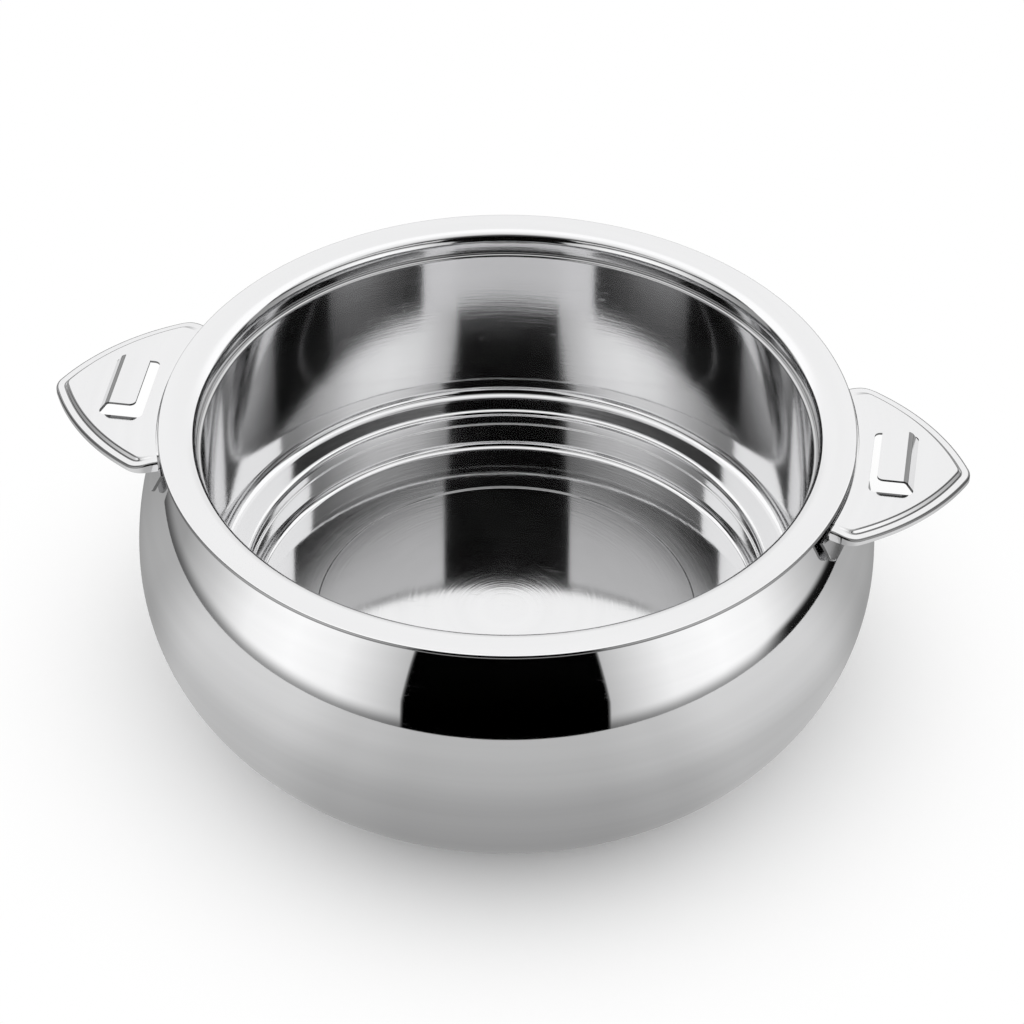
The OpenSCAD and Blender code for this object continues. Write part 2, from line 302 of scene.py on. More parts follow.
# %% Plan of a handle
TIP_AT, TIP_R = 145.2, 7.0
SIDE_PAST, SIDE_R = 29.3, 78.0
SIDE_AT = TIP_AT - math.sqrt((SIDE_R - TIP_R) ** 2 - SIDE_PAST ** 2)
CORNER_R = 7.5
RETURN_AT, RETURN_PAST, RETURN_R = 134.5, 17.5, 60.0
INNER_R = 115.6
TIP_STEPS, SIDE_STEPS, CORNER_STEPS, RETURN_STEPS = 14, 40, 14, 16


def meet(a, ra, b, rb):
    a, b = Vector(a), Vector(b)
    gap = (b - a).length
    along = (gap * gap + ra * ra - rb * rb) / (2 * gap)
    u = (b - a) / gap
    return a + along * u + math.sqrt(ra * ra - along * along) * Vector((-u.y, u.x))


def heading(a, b):
    return math.degrees(math.atan2(b[1] - a[1], b[0] - a[0]))


side_c = (SIDE_AT, -SIDE_PAST)
return_c = (RETURN_AT, -RETURN_PAST)
corner_c = meet(side_c, SIDE_R - CORNER_R, return_c, RETURN_R - CORNER_R)
tip_turn = heading(side_c, (TIP_AT, 0))
side_end = heading(side_c, corner_c)
corner_end = heading(return_c, corner_c)


def half_plan(bm, inset):
    known = set(bm.edges)
    end = meet((0, 0), INNER_R, return_c, RETURN_R - inset)
    at = bm.verts.new((TIP_AT + TIP_R - inset, 0, 0))
    at = sweep(bm, at, (TIP_AT, 0, 0), tip_turn, TIP_STEPS)
    at = sweep(bm, at, (*side_c, 0), side_end - tip_turn, SIDE_STEPS)
    at = sweep(bm, at, (*corner_c, 0), corner_end - side_end, CORNER_STEPS)
    at = sweep(bm, at, (*return_c, 0), heading(return_c, end) - corner_end, RETURN_STEPS)
    return [edge for edge in bm.edges if edge not in known], at


print("the handle's corner is rounded about", [round(v, 1) for v in corner_c])

# %% [markdown]
# ## Pressing the plate
#
# A die presses the border down round a raised middle and folds a skirt under the edge.
# The slope runs out beside the bowl, so each line's height depends on how far out it is.
# Four lines are bridged into strips, and edge bevels give the bends their radii. The
# faces of a bend get painted shade, as in the vessel, and less where the slope runs out.

# %% Pressed form of the plate
PLATE_T = 0.8
MIDDLE_Z = 103.9
RAISE, SKIRT, BORDER, SLOPE = 1.4, 2.1, 3.0, 0.9
SUNK_FROM, SUNK_RUN = 111.0, 9.0


def sunk(x):
    part = min(1, max(0, (x - SUNK_FROM) / SUNK_RUN))
    return RAISE * part * part * (3 - 2 * part)


def set_heights(edges, height):
    for point in {v for edge in edges for v in edge.verts}:
        point.co.z = height(point.co.x)


def bend_edges(bm, edges, radius, segments, bend_shade=lambda x: 1.0):
    made = bmesh.ops.bevel(bm, geom=edges, offset=radius, offset_type="OFFSET",
                           segments=segments, profile=0.5, affect="EDGES", material=-1,
                           clamp_overlap=True)
    # Painted shade: each new bend face gets a fold number that darkens the steel's colour
    for face in made["faces"]:
        face[bm.faces.layers.float["fold"]] = bend_shade(face.calc_center_median().x)


def press_half(bm):
    skirt, _ = half_plan(bm, 0)
    fold, _ = half_plan(bm, 0)
    foot, _ = half_plan(bm, BORDER)
    top, end = half_plan(bm, BORDER + SLOPE)
    set_heights(skirt, lambda x: MIDDLE_Z - RAISE - SKIRT)
    set_heights(fold, lambda x: MIDDLE_Z - sunk(x))
    set_heights(foot, lambda x: MIDDLE_Z - sunk(x))
    set_heights(top, lambda x: MIDDLE_Z)
    for lower, upper in ((skirt, fold), (fold, foot), (foot, top)):
        bmesh.ops.bridge_loops(bm, edges=lower + upper)
    return fold, foot, top, end


# %% [markdown]
# ## Window and tongue
#
# A punch cuts three sides of the tongue, and the strip is lifted and folded level again.
# The middle is filled up to the window's outline as one flat face, and the tongue grows
# out of its root edge by extrusion. The window's corners are rounded by vertex bevels.

# %% Window and lock tongue
WINDOW_AT, TONGUE_AT, RISER_AT, RISER_FOOT = 120.0, 122.5, 132.1, 134.5
TONGUE_W, WINDOW_W, TONGUE_H = 25.6, 30.4, 3.5
WINDOW_ROUND, WINDOW_STEPS = 2.0, 6


def chain(bm, start, places):
    points = [start] + [bm.verts.new((x, y, MIDDLE_Z)) for x, y in places]
    edges = [bm.edges.new(pair) for pair in zip(points, points[1:])]
    return points, edges


def raise_tongue(bm, root):
    grown = root
    folds = []
    for x in (RISER_AT, TONGUE_AT):
        made = bmesh.ops.extrude_edge_only(bm, edges=[grown])["geom"]
        grown = only(bmesh.types.BMEdge, made)[0]
        for point in grown.verts:
            point.co.x, point.co.z = x, MIDDLE_Z + TONGUE_H
        folds.append(grown)
    corner = max(grown.verts, key=lambda v: v.co.y)
    round_corners(bm, [corner], WINDOW_ROUND, WINDOW_STEPS)
    return folds[0]


# %% [markdown]
# ## From half a plate to a plate
#
# Half the plate is pressed, closed along the bowl by an arc, filled and punched. Both
# halves could be built at once, but a mirrored half can't differ from the other. The
# left-hand plate is the same plate, turned half a turn round the bowl.

# %% Handle plates
BEND, BEND_STEPS = 0.7, 5
RISER_BEND = 1.0
PRESS_BEND, PRESS_STEPS = 0.35, 3
INNER_STEPS, EDGE_BREAK, MIRROR_WELD = 24, 0.12, 1e-3


def finish_sheet(name, bm, towards, turned, thickness):
    bmesh.ops.recalc_face_normals(bm, faces=bm.faces)
    look_along(bm, towards)
    bmesh.ops.rotate(bm, verts=bm.verts, cent=(0, 0, 0),
                     matrix=Matrix.Rotation(turned, 3, "Z"))
    sheet = finish_mesh(name, bm)
    give_thickness(sheet, thickness, edge=EDGE_BREAK)
    return sheet


def make_plate(name, turned):
    bm = bmesh.new()
    bm.faces.layers.float.new("fold")
    fold, foot, top, end = press_half(bm)
    tip = [v for edge in top for v in edge.verts
           if abs(v.co.y) < 1e-4 and v.co.x > TIP_AT][0]
    swing = -math.degrees(math.atan2(end.co.y, end.co.x))
    known = set(bm.edges)
    inner = sweep(bm, end, (0, 0, MIDDLE_Z), swing, INNER_STEPS)
    brink = [edge for edge in bm.edges if edge not in known]
    half = WINDOW_W / 2
    points, punched = chain(bm, inner, [
        (WINDOW_AT, 0), (WINDOW_AT, half), (RISER_FOOT, half), (RISER_FOOT, TONGUE_W / 2),
        (RISER_FOOT, 0)])
    closing = bm.edges.new((points[-1], tip))
    bmesh.ops.contextual_create(bm, geom=top + brink + punched + [closing])
    riser_top = raise_tongue(bm, punched[-1])
    round_corners(bm, points[2:4], WINDOW_ROUND, WINDOW_STEPS)
    bend_edges(bm, [riser_top], RISER_BEND, BEND_STEPS)
    bend_edges(bm, fold, BEND, BEND_STEPS)
    for line in (foot, top):
        bend_edges(bm, line, PRESS_BEND, PRESS_STEPS, bend_shade=lambda x: sunk(x) / RAISE)
    bmesh.ops.mirror(bm, geom=bm.verts[:] + bm.edges[:] + bm.faces[:], axis="Y",
                     merge_dist=MIRROR_WELD)
    weld(bm, MIRROR_WELD)
    return finish_sheet(name, bm, lambda at: Vector((0, 0, 1)), turned, PLATE_T)


right_plate = make_plate("pressed_right_plate", 0)
left_plate = make_plate("pressed_left_plate", math.pi)
print("a plate has", len(right_plate.data.polygons), "faces")

# %% [markdown]
# ## Rolling a bracket's leg
#
# Each plate rests on an angle strip, welded to the shoulder where it touches. Its leg is
# rolled a little wider than the bowl, so its ends stand off. It could be cut out of a
# copy of the shell; instead it is swept about the roll's own axis and trimmed with
# planes, one plane for each few degrees of a rounded corner.

# %% Leg of a bracket
STRIP_T, BRACKET_W, LEG_H, LEG_ROUND = 1.0, 82.4, 9.8, 3.5
FLANGE_W, FLANGE_REACH, ROLL_OUT = 64.0, 6.4, 27.0
LEG_STEPS, ROLL_TURN, ROLL_STEPS, TRIM_STEP = 10, 36, 72, 10
BRACKET_Z = MIDDLE_Z - PLATE_T
LEG_TOP, LEG_LOW = BRACKET_Z - STRIP_T, BRACKET_Z - LEG_H
roll_axis = (-ROLL_OUT, 0, 0)


def trim(bm, at, normal, keep_all=False):
    bmesh.ops.bisect_plane(bm, geom=bm.verts[:] + bm.edges[:] + bm.faces[:], dist=1e-5,
                           plane_co=at, plane_no=normal, clear_outer=not keep_all)


def roll_leg(bm):
    face_r = SHOULDER_R + CLEAR + STRIP_T
    centre_r = BELLY_R - SHOULDER_R + ROLL_OUT
    up, down = (math.degrees(math.asin((z - BELLY_Z) / face_r)) for z in (LEG_TOP, LEG_LOW))
    centre = (centre_r - ROLL_OUT, 0, BELLY_Z)
    start = bm.verts.new((centre_r + face_r - ROLL_OUT, 0, BELLY_Z))
    bmesh.ops.rotate(bm, verts=[start], cent=centre,
                     matrix=Matrix.Rotation(math.radians(-up), 3, "Y"))
    sweep(bm, start, centre, up - down, LEG_STEPS, PROFILE_AXIS)
    bmesh.ops.rotate(bm, verts=bm.verts, cent=roll_axis,
                     matrix=Matrix.Rotation(math.radians(-ROLL_TURN / 2), 3, "Z"))
    bmesh.ops.spin(bm, geom=bm.verts[:] + bm.edges[:], cent=roll_axis, axis=(0, 0, 1),
                   angle=math.radians(ROLL_TURN), steps=ROLL_STEPS)
    weld(bm)


def trim_leg(bm):
    half = BRACKET_W / 2
    for side in (-1, 1):
        for angle in range(0, 91, TRIM_STEP):
            c, s = math.cos(math.radians(angle)), math.sin(math.radians(angle))
            out = half - LEG_ROUND + LEG_ROUND * c
            down = LEG_LOW + LEG_ROUND - LEG_ROUND * s
            trim(bm, (0, side * out, down), (0, side * c, -s))
        trim(bm, (0, side * FLANGE_W / 2, 0), (0, side, 0), keep_all=True)


# %% [markdown]
# ## The bracket's flange
#
# The flange under the plate is the same strip, bent outwards at the leg's top. It could
# be a separate piece, but extruding the leg's top edge and scaling the new edge away
# from the roll's axis keeps leg and flange one sheet.

# %% Handle brackets
def make_bracket(name, turned):
    bm = bmesh.new()
    roll_leg(bm)
    trim_leg(bm)
    brow = [edge for edge in bm.edges
            if all(abs(v.co.z - LEG_TOP) < 1e-3 and abs(v.co.y) < FLANGE_W / 2 + 1e-3
                   for v in edge.verts)]
    front = only(bmesh.types.BMVert, bmesh.ops.extrude_edge_only(bm, edges=brow)["geom"])
    radius = math.hypot(front[0].co.x + ROLL_OUT, front[0].co.y)
    grow = (radius + FLANGE_REACH - STRIP_T) / radius
    bmesh.ops.scale(bm, vec=(grow, grow, 1), verts=front,
                    space=Matrix.Translation((ROLL_OUT, 0, 0)))
    return finish_sheet(name, bm, lambda at: Vector((1, 0, -0.2)), turned, STRIP_T)


right_bracket = make_bracket("rolled_right_bracket", 0)
left_bracket = make_bracket("rolled_left_bracket", math.pi)
print("a bracket has", len(right_bracket.data.polygons), "faces")

# %% [markdown]
# ## Helpers for shader nodes
#
# A material is a small network of nodes. Adding and linking each one by hand is long to
# read, so a few helpers stand for it: one adds a node and feeds its sockets, others do
# sums with numbers and vectors, and one makes a ramp from a value to a grey level.

# %% Node helpers
def feed(tree, socket, value):
    if isinstance(value, bpy.types.NodeSocket):
        tree.links.new(value, socket)
    else:
        socket.default_value = value


def add(tree, kind, settings=None, **inputs):
    made = tree.nodes.new("ShaderNode" + kind)
    for name, value in (settings or {}).items():
        setattr(made, name, value)
    for name, value in inputs.items():
        feed(tree, made.inputs[name.replace("_", " ")], value)
    return made


def operate(tree, kind, operation, values, **inputs):
    made = add(tree, kind, {"operation": operation}, **inputs)
    for socket, value in zip(made.inputs, values):
        feed(tree, socket, value)
    return made.outputs


def calc(tree, operation, *values):
    return operate(tree, "Math", operation, values)[0]


def times(tree, first, *others):
    for other in others:
        first = calc(tree, "MULTIPLY", first, other)
    return first


def ramp(tree, value, stops, smooth="EASE"):
    made = add(tree, "ValToRGB", Fac=value)
    made.color_ramp.interpolation = smooth
    while len(made.color_ramp.elements) < len(stops):
        made.color_ramp.elements.new(0.5)
    for element, (at, grey) in zip(made.color_ramp.elements, stops):
        element.position = at
        element.color = (grey, grey, grey, 1)
    return made.outputs["Color"]


# %% [markdown]
# ## Node groups and materials
#
# An effect that several finishes share is a node group: it is built once, has sockets
# with names and start values, and is placed in each material like any other node.

# %% Groups and new materials
def new_group(name, inputs, outputs):
    tree = bpy.data.node_groups.new(name, "ShaderNodeTree")
    for label, value in inputs.items():
        kind = "NodeSocketVector" if isinstance(value, tuple) else "NodeSocketFloat"
        socket = tree.interface.new_socket(name=label, in_out="INPUT", socket_type=kind)
        socket.default_value = value
    for label in outputs:
        tree.interface.new_socket(name=label, in_out="OUTPUT", socket_type="NodeSocketFloat")
    entry = tree.nodes.new("NodeGroupInput")
    leave = tree.nodes.new("NodeGroupOutput")
    print("group", name, "gives", outputs)
    return tree, entry.outputs, leave.inputs


def place(tree, group, **inputs):
    made = tree.nodes.new("ShaderNodeGroup")
    made.node_tree = group
    for name, value in inputs.items():
        feed(tree, made.inputs[name.replace("_", " ")], value)
    return made.outputs


def new_material(name):
    mat = bpy.data.materials.new(name)
    mat.use_nodes = True
    return mat, mat.node_tree, mat.node_tree.nodes["Principled BSDF"]


# %% [markdown]
# ## Spun grain
#
# A spinner's polish leaves hair-fine rings round the axis. An image of rings would be a
# texture file; instead the noise is read at (radius, height) instead of (x, y, z), so it
# hardly changes along a turn. It gives a height for the bump and a mask for roughness.

# %% Node group: spun grain
BAND_SCALE = 0.12

grain_tree, given, gives = new_group(
    "spun grain", {"Fineness": 2200.0, "Drift": 60.0}, ["Grain", "Bands"])
spot = add(grain_tree, "TexCoord").outputs["Object"]
parts = add(grain_tree, "SeparateXYZ", Vector=spot).outputs
flat = add(grain_tree, "CombineXYZ", X=parts["X"], Y=parts["Y"]).outputs[0]
reach = operate(grain_tree, "VectorMath", "LENGTH", [flat])["Value"]
rings = add(grain_tree, "CombineXYZ", X=times(grain_tree, reach, given["Fineness"]),
            Y=times(grain_tree, parts["Z"], given["Fineness"])).outputs[0]
wander = operate(grain_tree, "VectorMath", "SCALE", [spot], Scale=given["Drift"])[0]
both = operate(grain_tree, "VectorMath", "ADD", [rings, wander])[0]
slow = operate(grain_tree, "VectorMath", "SCALE", [both], Scale=BAND_SCALE)[0]
fine = add(grain_tree, "TexNoise", Vector=both, Scale=1.0, Detail=3.0, Roughness=0.65)
wide = add(grain_tree, "TexNoise", Vector=slow, Scale=1.0, Detail=2.0, Roughness=0.5)
feed(grain_tree, gives["Grain"], fine.outputs["Fac"])
feed(grain_tree, gives["Bands"], wide.outputs["Fac"])

# %% [markdown]
# ## Handling marks
#
# Polished steel is never quite clean: wiping and fingers leave patches that are a little
# duller, and hairlines where something slid. Both are masks, which a material adds to
# its roughness in its own measure.

# %% Node group: handling marks
SMUDGE_GAIN, SMUDGE_START, SMUDGE_SOFT = 2.6, -1.2, 0.1
HAIR_TURN, HAIR_STRETCH, HAIR_LEVEL = (0.3, 0.2, 0.9), (1.0, 14.0, 5.0), 0.72

marks_tree, given, gives = new_group(
    "handling marks", {"Size": 0.03, "Hairline": 90.0}, ["Smudges", "Hairlines"])
spot = add(marks_tree, "TexCoord").outputs["Object"]
patches = add(marks_tree, "TexNoise", Vector=spot, Detail=4.0, Roughness=0.6,
              Scale=calc(marks_tree, "DIVIDE", 1.0, given["Size"])).outputs["Fac"]
patches = calc(marks_tree, "MULTIPLY_ADD", patches, SMUDGE_GAIN, SMUDGE_START)
feed(marks_tree, gives["Smudges"], calc(marks_tree, "SMOOTH_MAX", patches, 0.0, SMUDGE_SOFT))
stretched = add(marks_tree, "Mapping", Vector=spot, Rotation=HAIR_TURN, Scale=HAIR_STRETCH)
lines = add(marks_tree, "TexNoise", Vector=stretched.outputs[0], Scale=given["Hairline"],
            Detail=1.0).outputs["Fac"]
feed(marks_tree, gives["Hairlines"], calc(marks_tree, "GREATER_THAN", lines, HAIR_LEVEL))

# %% [markdown]
# ## Press waves
#
# A pressed or spun sheet is never a perfect mirror: it swells a little. This group is a
# slow height, of some thousandths of a millimetre once a material has weighed it, so
# that reflections bend as they do in sheet.

# %% Node group: press waves
wave_tree, given, gives = new_group("press waves", {"Length": 0.02}, ["Height"])
spot = add(wave_tree, "TexCoord").outputs["Object"]
swell = add(wave_tree, "TexNoise", Vector=spot, Detail=0.0,
            Scale=calc(wave_tree, "DIVIDE", 1.0, given["Length"]))
feed(wave_tree, gives["Height"], swell.outputs["Fac"])

# %% [markdown]
# ## Painted shade in folds
#
# A dark line of painted shade is put along each fold of a pressed sheet. Curvature could
# find the folds, but the pieces already carry the answer: the number called fold, which
# was set on each face when its bend was made. The group only weighs it.

# %% Node group: painted shade in folds
FOLD_SHADE_AMOUNT = 0.75

fold_shade_tree, given, gives = new_group("stained folds", {"Amount": FOLD_SHADE_AMOUNT}, ["Stain"])
fold = add(fold_shade_tree, "Attribute", {"attribute_name": "fold"})
feed(fold_shade_tree, gives["Stain"], times(fold_shade_tree, fold.outputs["Fac"], given["Amount"]))

# %% [markdown]
# ## Steel
#
# Stainless steel is a grey mirror: a metallic Principled shader whose colour is the
# reflected share of light. Its look is in its roughness and in the bump of its grain, so
# one recipe serves every sheet, with its own polish, and grain and wave heights in
# thousandths of a millimetre. Its colour also takes the painted shade along the folds.
# A sheared edge is the same recipe, duller, and darker with painted shade.

# %% Steel recipe
MICRON = 1e-6
DARKER, LIGHTER = 0.97, 1.03
# Near-black colour of the painted shade along folds
FOLD_SHADE_COLOUR = (0.05, 0.05, 0.05, 1)


def steel(name, colour, polish, grain_depth, wave_height, fineness=2200.0, smudge=0.06,
          grain_blur=0.05):
    mat, tree, shader = new_material(name)
    shader.inputs["Metallic"].default_value = 1.0
    grain = place(tree, grain_tree, Fineness=fineness)
    marks = place(tree, marks_tree)
    waves = place(tree, wave_tree)
    folds = place(tree, fold_shade_tree, Amount=FOLD_SHADE_AMOUNT)
    tone = add(tree, "Mix", {"data_type": "RGBA"}, Factor=grain["Bands"],
               A=(*[c * DARKER for c in colour], 1), B=(*[c * LIGHTER for c in colour], 1))
    # Painted shade: the fold number mixes the colour towards near-black
    painted_shade = add(tree, "Mix", {"data_type": "RGBA"}, Factor=folds["Stain"],
                  A=tone.outputs["Result"], B=FOLD_SHADE_COLOUR)
    feed(tree, shader.inputs["Base Color"], painted_shade.outputs["Result"])
    dull = calc(tree, "MULTIPLY_ADD", marks["Smudges"], smudge, polish)
    dull = calc(tree, "MULTIPLY_ADD", marks["Hairlines"], smudge, dull)
    dull = calc(tree, "MULTIPLY_ADD", grain["Grain"], grain_blur, dull)
    feed(tree, shader.inputs["Roughness"], dull)
    height = times(tree, grain["Grain"], grain_depth * MICRON)
    height = calc(tree, "MULTIPLY_ADD", waves["Height"], wave_height * MICRON, height)
    bump = add(tree, "Bump", Strength=1.0, Distance=1.0, Height=height)
    feed(tree, shader.inputs["Normal"], bump.outputs["Normal"])
    return mat


# The third grey, for the sheared edges, is dark as painted shade along the handles' cut
# edges
GREY, CAP_GREY, SHADED_EDGE_GREY = (0.74, 0.74, 0.745), (0.70, 0.70, 0.705), (0.20, 0.20, 0.20)
belly_steel = steel("mirror steel", GREY, 0.02, 0.4, 4, smudge=0.03, grain_blur=0.02)
liner_steel = steel("liner steel", GREY, 0.04, 8.0, 4, fineness=1300.0, smudge=0.04,
                    grain_blur=0.06)
plate_steel = steel("plate steel", GREY, 0.06, 0.6, 12, smudge=0.05, grain_blur=0.03)
strip_steel = steel("strip steel", GREY, 0.12, 1.0, 6, smudge=0.05)
# The sheared edges' finish: duller, and dark with painted shade
shaded_edge_steel = steel("sheared edge", SHADED_EDGE_GREY, 0.3, 4.0, 4)
cap_steel = steel("cap steel", CAP_GREY, 0.22, 5.0, 4, fineness=1400.0)
finishes = (belly_steel, liner_steel, plate_steel, strip_steel, shaded_edge_steel, cap_steel)
print("steel finishes:", [mat.name for mat in finishes])

# %% [markdown]
# ## Foam and plugs
#
# Between the sheets is poured foam, and two plastic plugs close its holes. They are
# hidden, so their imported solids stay, but they get their finish too: closed cells with
# a cream tint for the foam, and the fine spark-eroded skin of moulded plastic.

# %% Foam and moulded plastic
def pebbled(name, light, dark, cell, depth, roughness):
    mat, tree, shader = new_material(name)
    spot = add(tree, "TexCoord").outputs["Object"]
    cells = add(tree, "TexVoronoi", {"feature": "SMOOTH_F1"}, Vector=spot, Scale=1 / cell)
    cloud = add(tree, "TexNoise", Vector=spot, Scale=60.0, Detail=3.0).outputs["Fac"]
    tone = add(tree, "Mix", {"data_type": "RGBA"}, Factor=cloud, A=(*dark, 1), B=(*light, 1))
    feed(tree, shader.inputs["Base Color"], tone.outputs["Result"])
    feed(tree, shader.inputs["Roughness"], calc(tree, "MULTIPLY_ADD", cloud, 0.2, roughness))
    bump = add(tree, "Bump", Strength=1.0, Distance=1.0,
               Height=times(tree, cells.outputs["Distance"], depth))
    feed(tree, shader.inputs["Normal"], bump.outputs["Normal"])
    return mat


foam = pebbled("poured foam", (0.86, 0.80, 0.60), (0.78, 0.70, 0.46), 0.0006, 0.0004, 0.7)
plug_skin = pebbled("moulded plastic", (0.14, 0.14, 0.14), (0.10, 0.10, 0.10), 0.0003,
                    0.00005, 0.45)
for node, mat in (("insulation", foam), ("fill_plug", plug_skin), ("vent_plug", plug_skin)):
    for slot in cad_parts[node].material_slots:
        slot.material = mat
    print(node, "gets", mat.name)

# %% [markdown]
# ## Placing the sheets in the frame
#
# Every sheet belongs to the one rigid body. Each takes its finish and stands for the
# solid that it forms again. The handles' cut edges are taken for unpolished, so plates
# and brackets have a second, duller finish, dark with painted shade, which their
# Solidify modifier puts on the edges.

# %% Placing in the frame
for piece, node, slot, mat in (
        (shell, "outer_shell", "shell_steel", belly_steel),
        (vessel, "inner_vessel", "vessel_steel", liner_steel),
        (cap, "base_cap", "base_steel", cap_steel),
        (right_plate, "right_handle_plate", "handle_steel", plate_steel),
        (left_plate, "left_handle_plate", "handle_steel", plate_steel),
        (right_bracket, "right_handle_bracket", "bracket_steel", strip_steel),
        (left_bracket, "left_handle_bracket", "bracket_steel", strip_steel)):
    piece.data.materials.append(mat)
    # Plates and brackets get the edges' finish too, dark with painted shade
    if "handle" in node:
        piece.data.materials.append(shaded_edge_steel)
    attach(piece, "root")
    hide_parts(node)
    print(piece.name, "stands for", node)

# %% [markdown]
# ## The camera
#
# The photograph looks down at the bowl from more than a metre away with a long lens. The
# place and the turn were solved from the rim's and the liner's ellipses.

# %% Camera
TURN, DROP, ROLL = 0.1436, 0.7055, 0.0084
CAMERA_AT, LENS, SENSOR = (143.3, -979.3, 909.3), 136.16, 36
camera = bpy.data.objects.new("camera", bpy.data.cameras.new("camera"))
bpy.context.scene.collection.objects.link(camera)
bpy.context.scene.camera = camera
right = Vector((math.cos(TURN), math.sin(TURN), 0))
ahead = Vector((-math.sin(TURN) * math.cos(DROP), math.cos(TURN) * math.cos(DROP),
                -math.sin(DROP)))
over = right.cross(ahead)
x_axis = math.cos(ROLL) * right + math.sin(ROLL) * over
y_axis = -math.sin(ROLL) * right + math.cos(ROLL) * over
turned = Matrix((x_axis, y_axis, -ahead)).transposed().to_4x4()
camera.matrix_world = Matrix.Translation(Vector(CAMERA_AT) * MM) @ turned
camera.data.sensor_width = SENSOR
camera.data.lens = LENS
bpy.context.scene.view_settings.view_transform = "Standard"
print("the camera is", round(camera.location.length, 3), "m from the table's middle")

# %% [markdown]
# ## Where a point of the studio lies
#
# Steel shows the room, so the room matters. How bright a spot of the studio is depends
# on its direction from the bowl, so one node group works that out for the boards, the
# table and the tent: the turn away from the camera's side in degrees, the reach from the
# axis, how far it lies towards the camera and across from it, and its height.

# %% Node group: place in the studio
FRONT = math.atan2(camera.location.y, camera.location.x)

place_tree, given, gives = new_group(
    "place in the studio", {"Spot": (0.0, 0.0, 0.0)},
    ["Turn", "Reach", "Towards", "Across", "Height"])
parts = add(place_tree, "SeparateXYZ", Vector=given["Spot"]).outputs
towards = calc(place_tree, "ADD", times(place_tree, parts["X"], math.cos(FRONT)),
               times(place_tree, parts["Y"], math.sin(FRONT)))
across = calc(place_tree, "ADD", times(place_tree, parts["X"], -math.sin(FRONT)),
              times(place_tree, parts["Y"], math.cos(FRONT)))
turn = calc(place_tree, "ABSOLUTE", calc(place_tree, "ARCTAN2", across, towards))
reach = calc(place_tree, "SQRT", calc(place_tree, "ADD", times(place_tree, towards, towards),
                                      times(place_tree, across, across)))
feed(place_tree, gives["Turn"], calc(place_tree, "DEGREES", turn))
feed(place_tree, gives["Reach"], reach)
feed(place_tree, gives["Towards"], towards)
feed(place_tree, gives["Across"], across)
feed(place_tree, gives["Height"], parts["Z"])
print("the camera stands", round(math.degrees(FRONT), 1),
      "degrees round from the right-hand handle")

# %% [markdown]
# ## The light of the boards and the black card
#
# Two white boards stand in front, left and right of the camera, and a black card hides
# the camera between them: it is the black patch on the belly and the lens on the rim.
# Lamps could light real boards, but a glow that depends on turn and height is easier to
# fit. The boards darken towards the table, and one has a dark skirting there. They fade
# out at a third of a metre, and a strip of light lies higher up, beside the card.

# %% Glow of the boards
BOARD_SPAN, BOARD_GAIN = 112.0, 1.30
CARD_TURN, CARD_SCALE = 0.24, -100.0
CARD = [(0.05, 0.24), (0.22, 0.205), (0.27, 0.22), (0.33, 0.30)]
GLOW = [(0.214, 0.0), (0.218, 0.50), (0.36, 0.90), (0.48, 1.0), (0.60, 0.92), (0.72, 0.60),
        (0.86, 0.33), (1, 0.26)]
FADE = [(0.29, 1.0), (0.32, 0.85), (0.38, 0.2), (0.42, 0.04)]
HIGH, HIGH_FROM = [(0.435, 0.0), (0.47, 0.58), (0.60, 0.66)], 24.2
FOOT_H, FOOT_GLOW = 0.03, 0.3
SKIRTING_TURN, SKIRTING_H, SKIRTING_DARK = (62.0, 76.0), (0.014, 0.03), -0.97


def glowing(name):
    mat, tree, _ = new_material(name)
    tree.nodes.clear()
    light = add(tree, "Emission")
    add(tree, "OutputMaterial", Surface=light.outputs[0])
    return mat, tree, light


def ease(tree, value, low, high, start=0.0, end=1.0):
    return add(tree, "MapRange", {"interpolation_type": "SMOOTHSTEP"}, Value=value,
               From_Min=low, From_Max=high, To_Min=start, To_Max=end).outputs["Result"]


board_mat, tree, light = glowing("lit boards")
at = place(tree, place_tree, Spot=add(tree, "TexCoord").outputs["Object"])
turn, height = at["Turn"], at["Height"]
card = calc(tree, "SUBTRACT", ramp(tree, height, CARD, "LINEAR"), CARD_TURN)
beside = calc(tree, "MULTIPLY_ADD", card, CARD_SCALE, turn)
glow = ramp(tree, calc(tree, "DIVIDE", beside, BOARD_SPAN), GLOW, "LINEAR")
fade = ramp(tree, height, FADE, "LINEAR")
foot = ease(tree, height, 0.0, FOOT_H, FOOT_GLOW, 1.0)
skirting = times(tree, ease(tree, turn, *SKIRTING_TURN),
                 ease(tree, height, *SKIRTING_H, 1.0, 0.0),
                 calc(tree, "GREATER_THAN", at["Across"], 0.0))
foot = times(tree, foot, calc(tree, "MULTIPLY_ADD", skirting, SKIRTING_DARK, 1.0))
high = times(tree, ramp(tree, height, HIGH, "LINEAR"),
             calc(tree, "GREATER_THAN", beside, HIGH_FROM))
lit = calc(tree, "MAXIMUM", times(tree, foot, fade, glow), high)
feed(tree, light.inputs["Strength"], times(tree, lit, BOARD_GAIN))
print("the boards reach", BOARD_SPAN, "degrees to each side of the camera")

# %% [markdown]
# ## The boards themselves
#
# The boards are one upright band round the front, spun from a single edge. Only the
# steel sees them, so the picture keeps its plain light and white background.

